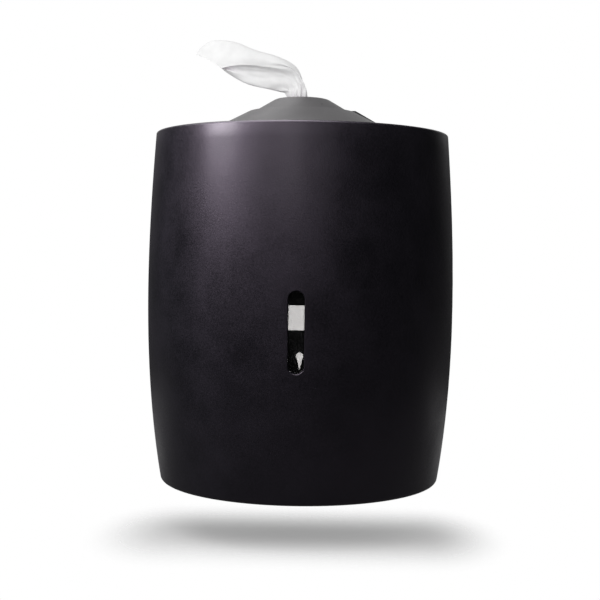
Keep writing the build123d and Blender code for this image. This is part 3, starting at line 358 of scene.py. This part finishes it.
# Stations along it: the place to the right, the height over the cap's top, the lean in degrees, half the
# width, half the thickness, the step away from the wall, and the hem's place from 1, right, to -1, left
wipe_stations = [
    (0.0, -0.1778, 0, 0.0064, 0.0064, 0.0, hem_right),
    (0.0, -0.1388, 0, 0.0066, 0.0066, 0.0, hem_right),
    (0.0, -0.0988, 0, 0.0066, 0.0066, 0.0, hem_right),
    (0.0, -0.0588, 0, 0.0066, 0.0066, 0.0, hem_right),
    (0.0, -0.0186, 0, 0.0068, 0.0068, 0.0, hem_right),
    (0.0, -0.0086, 0, 0.0076, 0.0070, 0.0, hem_right),
    (-0.003, -0.0026, 0, 0.0090, 0.0072, 0.0, hem_right),
    (-0.006, 0.0064, 4, 0.0110, 0.0078, 0.0, hem_right),
    (-0.010, 0.0114, 19, 0.0130, 0.0085, 0.0, 0.7),
    (-0.020, 0.0199, 35, 0.0175, 0.0095, 0.001, 0.5),
    (-0.0365, 0.0264, 38, 0.0200, 0.0105, 0.002, 0.15),
    (-0.057, 0.0344, 42, 0.0165, 0.0105, 0.003, -0.45),
    (-0.0725, 0.0424, 52, 0.0130, 0.0085, 0.002, -1.6),
    (-0.0895, 0.0459, 66, 0.0080, 0.0045, 0.001, -1.6),
    (-0.0995, 0.0422, 80, 0.0016, 0.0012, 0.0, -1.6),
]

# From the hem down into the hollow beyond it: the step past the hem, and the height over the middle
under_hem = [(0.3, 0.86), (0.05, 0.76), (-0.1, 0.6), (-0.28, 0.44), (-0.6, 0.34), (-1.0, 0.34), (-1.45, 0.42)]


def flow(points, place_along):
    """A smooth curve through a list of points, each a tuple, at a place from 0 to the last."""
    first = min(int(place_along), len(points) - 2)
    part = place_along - first
    a, b, c, d = (points[max(0, min(len(points) - 1, first + step))] for step in (-1, 0, 1, 2))
    return [q + 0.5 * part * (r - p + part * (2 * p - 5 * q + 4 * r - s + part * (3 * (q - r) + s - p)))
            for p, q, r, s in zip(a, b, c, d)]


def wipe_fold(across, hem, opened, turn):
    """A point on a cut through the sheet: fluted where it is gathered, folded where it has opened."""
    ripple = math.cos(2 * math.pi * flutes * across + turn)
    flute = 1 + flute_depth * (ripple - 1)

    # Gathered, the sheet goes most of the way round, so that its edges nearly meet
    angle = math.radians(-65 + 335 * across)
    gathered = (flute * math.cos(angle), flute * math.sin(angle))

    # Opened, it goes over the top to its hem and back underneath
    inner = (hem + 1) / 2
    fold = [(0.35, -0.75), (0.85, -0.55), (1.0, 0.0), (0.9, 0.55), (inner, 0.93)]
    fold += [(hem + past * inner, height) for past, height in under_hem]
    fold += [(-0.97, 0.3), (-1.0, 0.0), (-0.75, -0.55), (-0.1, -0.9)]
    unfolded = flow(fold, across * (len(fold) - 1))

    # Its flutes fade out as it opens, and fine creases stay
    crease = 0.05 * ripple * (1 - opened) + 0.012 * math.sin(40 * across + turn)
    return [g + (u * (1 + crease) - g) * opened for g, u in zip(gathered, unfolded)]


# It is a strand up to the sixth station, and has opened wholly four stations on
opens_at = 5.0
opens_over = 4.2
swell = 0.06
crumple = 0.16
sheet = bmesh.new()
bmesh.ops.create_grid(sheet, x_segments=220, y_segments=150, size=0.5)
for vert in sheet.verts:
    across, along = vert.co.x + 0.5, vert.co.y + 0.5
    station = along * (len(wipe_stations) - 1)
    x, rise, lean, half_width, half_thickness, out, hem = flow(wipe_stations, station)
    opened = max(0.0, min(1.0, (station - opens_at) / opens_over))
    opened = opened * opened * (3 - 2 * opened)
    hem = max(hem_left, min(hem_right, hem))
    a, b = wipe_fold(across, hem, opened, 0.9 * station)
    billow = swell * opened * math.sin(5.0 * across + 1.7 * station)
    billow += crumple * opened * noise.noise(Vector((9.0 * across, 1.1 * station, 0)))
    lean = math.radians(lean)
    sideways = half_width * Vector((math.cos(lean), 0, math.sin(lean)))
    outwards = half_thickness * Vector((0, -1, 0))
    vert.co = Vector((x, nozzle_y - out, cap_top + rise)) + a * sideways + (b + billow) * outwards
bmesh.ops.recalc_face_normals(sheet, faces=sheet.faces)

# Painted shade: the cloth's colour turns a violet grey where ambient occlusion finds it deep in its folds
wipe_white, tree, shader = cloth("wipe white", (0.93, 0.93, 0.93))
skin = tree.nodes["Group"].outputs["Colour"]
hollow = place(tree, "AmbientOcclusion", {"Distance": 0.016}, samples=8).outputs["AO"]
fold_shade_mask = place(tree, "MapRange", {"From Min": 0.25, "From Max": 0.85, "To Min": 1.0, "To Max": 0.0},
                {"Value": hollow}).outputs["Result"]
# The violet grey mixed in here is painted shade in the folds
folded = place(tree, "Mix", {"B": (0.87, 0.83, 0.87, 1)}, {"Factor": fold_shade_mask, "A": skin}, data_type="RGBA")
# Painted shade: the colour greys further where the sheet turns edge-on to the camera
turned = place(tree, "LayerWeight", {"Blend": 0.25}).outputs["Facing"]
edge_shade_share = place(tree, "Math", {1: 0.08}, {0: turned}, operation="MULTIPLY").outputs[0]
painted_edge_shade = place(tree, "Mix", {"B": (0.6, 0.59, 0.62, 1)}, {"Factor": edge_shade_share, "A": folded.outputs["Result"]},
               data_type="RGBA")
tree.links.new(painted_edge_shade.outputs["Result"], shader.inputs["Base Color"])
wipe = add_piece("pulled_wipe", sheet, wipe_white, "frame")
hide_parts("wipe_tail")


# Front cover: the satin black barrel, moulded in one piece, with the sight slot in its front.
# Its skin has a fine speckled grain with a faint violet gloss. It swings on two steel hinge pins.
cover_black = moulded_plastic("cover black", (0.0037, 0.004, 0.0052), 0.42, grain=700.0, depth=0.0001,
                              shade=0.3, gloss=0.1, worn=1.6, Specular_Tint=(0.93, 0.73, 1.0, 1.0),
                              Coat_Weight=0.35, Coat_Roughness=0.26)
finish_nodes(cover_black, "front_cover")
finish_nodes(screw_steel, "hinge_pins")

# In its relief alone, the wall's last 14 mm lean in towards the top edge, by a millimetre in all
cover_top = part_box("front_cover")[1].z
shoulder_height = 0.014
shoulder_lean = 0.001
tree = cover_black.node_tree
height = place(tree, "SeparateXYZ", joins={0: place(tree, "TexCoord").outputs["Object"]}).outputs["Z"]
up_shoulder = place(tree, "MapRange", {"From Min": cover_top - shoulder_height, "From Max": cover_top},
                    {"Value": height}).outputs["Result"]
drawn_in = place(tree, "Math", {1: 2.0}, {0: up_shoulder}, operation="POWER").outputs[0]
shoulder = place(tree, "Bump", {"Strength": 1.0, "Distance": -shoulder_lean},
                 {"Height": drawn_in, "Normal": tree.nodes["Bump"].outputs["Normal"]})
shader = tree.nodes["Principled BSDF"]
tree.links.new(shoulder.outputs["Normal"], shader.inputs["Normal"])
tree.links.new(shoulder.outputs["Normal"], shader.inputs["Coat Normal"])


# Sight slot: a clear moulded lens in the cover's front, with a few smudges.
# It is held from inside by a black frame and four screws.
lens_clear, tree, shader = new_material("clear lens", Base_Color=(0.01, 0.01, 0.01, 1), Alpha=0.07)
spot = place(tree, "TexCoord").outputs["Object"]
smudge = place(tree, "TexNoise", {"Scale": 60.0, "Detail": 3.0}, {"Vector": spot}).outputs["Fac"]
polish = place(tree, "MapRange", {"From Min": 0.3, "From Max": 0.8, "To Min": 0.03, "To Max": 0.16},
               {"Value": smudge}).outputs["Result"]
tree.links.new(polish, shader.inputs["Roughness"])
finish_nodes(lens_clear, "window_lens")
finish_nodes(housing_black, "lens_retainer")
finish_nodes(screw_steel, "retainer_screws")


# Lock: a chromed cam lock in the cover's right-hand wing, held by its nut.
# Its steel cam catches on a steel striker under the deck.
lock_chrome = metal("polished chrome", (0.74, 0.74, 0.76), 0.1, scratches=500.0)
finish_nodes(lock_chrome, "lock_barrel", "lock_nut", "lock_plug")
finish_nodes(screw_steel, "lock_cam", "cam_screw", "lock_striker", "striker_screws")


# Studio: a pale floor under the hanging dispenser, white all round, and soft lamps.
# The pieces' own lamps are kept apart by light linking.
floor_gap = 0.044
floor_z = cad_box[0][2] - floor_gap
stage = bmesh.new()
bmesh.ops.create_circle(stage, cap_ends=True, segments=96, radius=4.0)
bmesh.ops.translate(stage, verts=stage.verts, vec=(0, 0, floor_z))
floor = bpy.data.objects.new("floor", bpy.data.meshes.new("floor"))
stage.to_mesh(floor.data)
stage.free()
bpy.context.scene.collection.objects.link(floor)
floor_pale, tree, shader = new_material("pale floor", Base_Color=(0.8, 0.8, 0.8, 1), Roughness=0.9,
                                        Specular_IOR_Level=0.1)
floor.data.materials.append(floor_pale)

# The camera sees the floor in a long oval round the shadow, fading out to its edge, and not from beneath
around = place(tree, "TexCoord").outputs["Object"]
aside, inward = place(tree, "SeparateXYZ", joins={0: around}).outputs[:2]
aside = place(tree, "Math", joins={0: aside}, operation="ABSOLUTE").outputs[0]
past_end = place(tree, "MapRange", {"From Min": 0.12, "From Max": 0.32, "To Max": 2.4},
                 {"Value": aside}).outputs["Result"]
from_line = place(tree, "MapRange", {"From Min": -0.46, "From Max": 0.24, "To Min": -2.65, "To Max": 2.65},
                  {"Value": inward}).outputs["Result"]
oval = place(tree, "CombineXYZ", joins={0: past_end, 1: from_line}).outputs[0]
spread = place(tree, "VectorMath", joins={0: oval}, operation="LENGTH").outputs["Value"]
faded = place(tree, "MapRange", {"From Min": 0.05, "From Max": 1.0, "To Min": 0.3, "To Max": 1.0},
              {"Value": spread}, interpolation_type="SMOOTHSTEP").outputs["Result"]
ray = place(tree, "LightPath").outputs
seen = place(tree, "Math", joins={0: faded, 1: ray["Is Camera Ray"]}, operation="MULTIPLY").outputs[0]
beneath = place(tree, "NewGeometry").outputs["Backfacing"]
open_floor = place(tree, "Math", joins={0: seen, 1: beneath}, operation="MAXIMUM").outputs[0]

# In gloss the floor is a soft white, fainter in front of the dispenser and far from it
far = place(tree, "VectorMath", joins={0: around}, operation="LENGTH").outputs["Value"]
near = place(tree, "MapRange", {"From Min": 0.25, "From Max": 1.1, "To Min": 1.0, "To Max": 0.12},
             {"Value": far}, interpolation_type="SMOOTHSTEP").outputs["Result"]
rear = place(tree, "MapRange", {"From Min": -0.1, "From Max": 0.3, "To Min": 0.08, "To Max": 0.35},
             {"Value": inward}, interpolation_type="SMOOTHSTEP").outputs["Result"]
mirrored = place(tree, "Math", joins={0: near, 1: rear}, operation="MULTIPLY").outputs[0]
white = place(tree, "Emission", {"Color": (1, 1, 1, 1)}, {"Strength": mirrored}).outputs[0]
laid = place(tree, "MixShader", joins={0: ray["Is Glossy Ray"], 1: shader.outputs[0], 2: white}).outputs[0]
nothing = place(tree, "BsdfTransparent", {"Color": (1, 1, 1, 1)}).outputs[0]
shown = place(tree, "MixShader", joins={0: open_floor, 1: laid, 2: nothing}).outputs[0]
tree.links.new(shown, tree.nodes["Material Output"].inputs["Surface"])

# The world is white to the camera, and lights the pieces with half of that.
# In gloss it is dark, but for a soft white high up behind the dispenser.
world = bpy.data.worlds.new("studio")
bpy.context.scene.world = world
world.use_nodes = True
tree = world.node_tree
ray = place(tree, "LightPath").outputs
way = place(tree, "TexCoord").outputs["Generated"]
forward, upward = place(tree, "SeparateXYZ", joins={0: way}).outputs[1:]
behind = place(tree, "MapRange", {"From Min": 0.6, "From Max": 0.95}, {"Value": forward},
               interpolation_type="SMOOTHSTEP").outputs["Result"]
above = place(tree, "MapRange", {"From Min": 0.0, "From Max": 0.35, "To Min": 0.1, "To Max": 1.0},
              {"Value": upward}, interpolation_type="SMOOTHSTEP").outputs["Result"]
behind = place(tree, "Math", joins={0: behind, 1: above}, operation="MULTIPLY").outputs[0]
behind = place(tree, "Math", {1: 0.5, 2: 0.008}, {0: behind}, operation="MULTIPLY_ADD").outputs[0]
lit = place(tree, "Mix", {2: 0.5}, {0: ray["Is Glossy Ray"], 3: behind}, data_type="FLOAT").outputs[0]
clear = place(tree, "Math", joins={0: ray["Is Camera Ray"], 1: ray["Is Transmission Ray"]},
              operation="MAXIMUM").outputs[0]
strength = place(tree, "Mix", {3: 1.0}, {0: clear, 2: lit}, data_type="FLOAT").outputs[0]
tree.links.new(strength, tree.nodes["Background"].inputs["Strength"])
tree.nodes["Background"].inputs["Color"].default_value = (1, 1, 1, 1)


def softbox(name, place_at, aimed_at, width, height, radiance):
    """A soft rectangular lamp."""
    lamp = bpy.data.lights.new(name, "AREA")
    lamp.shape = "RECTANGLE"
    lamp.size = width
    lamp.size_y = height
    lamp.energy = radiance * math.pi * width * height
    back = (Vector(place_at) - Vector(aimed_at)).normalized()
    made = bpy.data.objects.new(name, lamp)
    made.rotation_mode = "QUATERNION"
    made.rotation_quaternion = back.to_track_quat("Z", "Y")
    made.location = place_at
    made.visible_camera = False
    bpy.context.scene.collection.objects.link(made)
    return made


key_lamp = softbox("key_lamp", (-0.75, -0.52, 0.52), (-0.05, -0.15, 0.15), 0.36, 0.36, 19.2)
front_lamp = softbox("front_lamp", (-0.38, -1.05, 0.5), (0, -0.2, 0.15), 0.9, 0.4, 1.7)
right_lamp = softbox("front_lamp_right", (0.1, -1.15, 0.5), (0, -0.2, 0.15), 0.7, 0.4, 0.75)
top_lamp = softbox("top_lamp", (-0.45, -0.2, 1.05), (0, -0.1, 0.15), 1.3, 1.1, 1.4)
edge_lamp = softbox("edge_lamp", (-0.25, -0.3, 1.0), (0, -0.15, 0.15), 1.2, 1.0, 4.5)
wipe_lamp = softbox("wipe_lamp", (-0.25, -1.05, 0.75), (-0.05, -0.1, 0.22), 1.0, 0.7, 2.55)
wipe_fill = softbox("wipe_fill_lamp", (-0.6, -0.85, 0.05), (-0.05, -0.1, 0.22), 0.8, 0.4, 2.0)
wipe_rear = softbox("wipe_rear_lamp", (-0.2, 0.95, 0.6), (-0.05, -0.1, 0.22), 1.2, 0.8, 1.9)


def lit_by(lamps, state, *pieces):
    """Says which pieces alone some lamps light (INCLUDE), or which they leave out (EXCLUDE)."""
    chosen = bpy.data.collections.new(lamps[0].name + "_pieces")
    for piece in pieces:
        chosen.objects.link(piece)
    for link in chosen.collection_objects:
        link.light_linking.link_state = state
    for lamp in lamps:
        lamp.light_linking.receiver_collection = chosen


# The strong lamps leave out the wipe and the floor, which have softer light
lit_by([key_lamp, front_lamp, right_lamp], "EXCLUDE", wipe, floor)
lit_by([top_lamp], "EXCLUDE", wipe)
lit_by([edge_lamp], "INCLUDE", nodes["front_cover"])
lit_by([wipe_lamp, wipe_fill, wipe_rear], "INCLUDE", wipe)

# A lamp by the camera shines through the sight slot on the roll alone
slot_lamp = softbox("slot_lamp", (0.02, -1.15, 0.03), (0, -0.2, -0.013), 0.08, 0.08, 338.0)
lit_by([slot_lamp], "INCLUDE", roll)
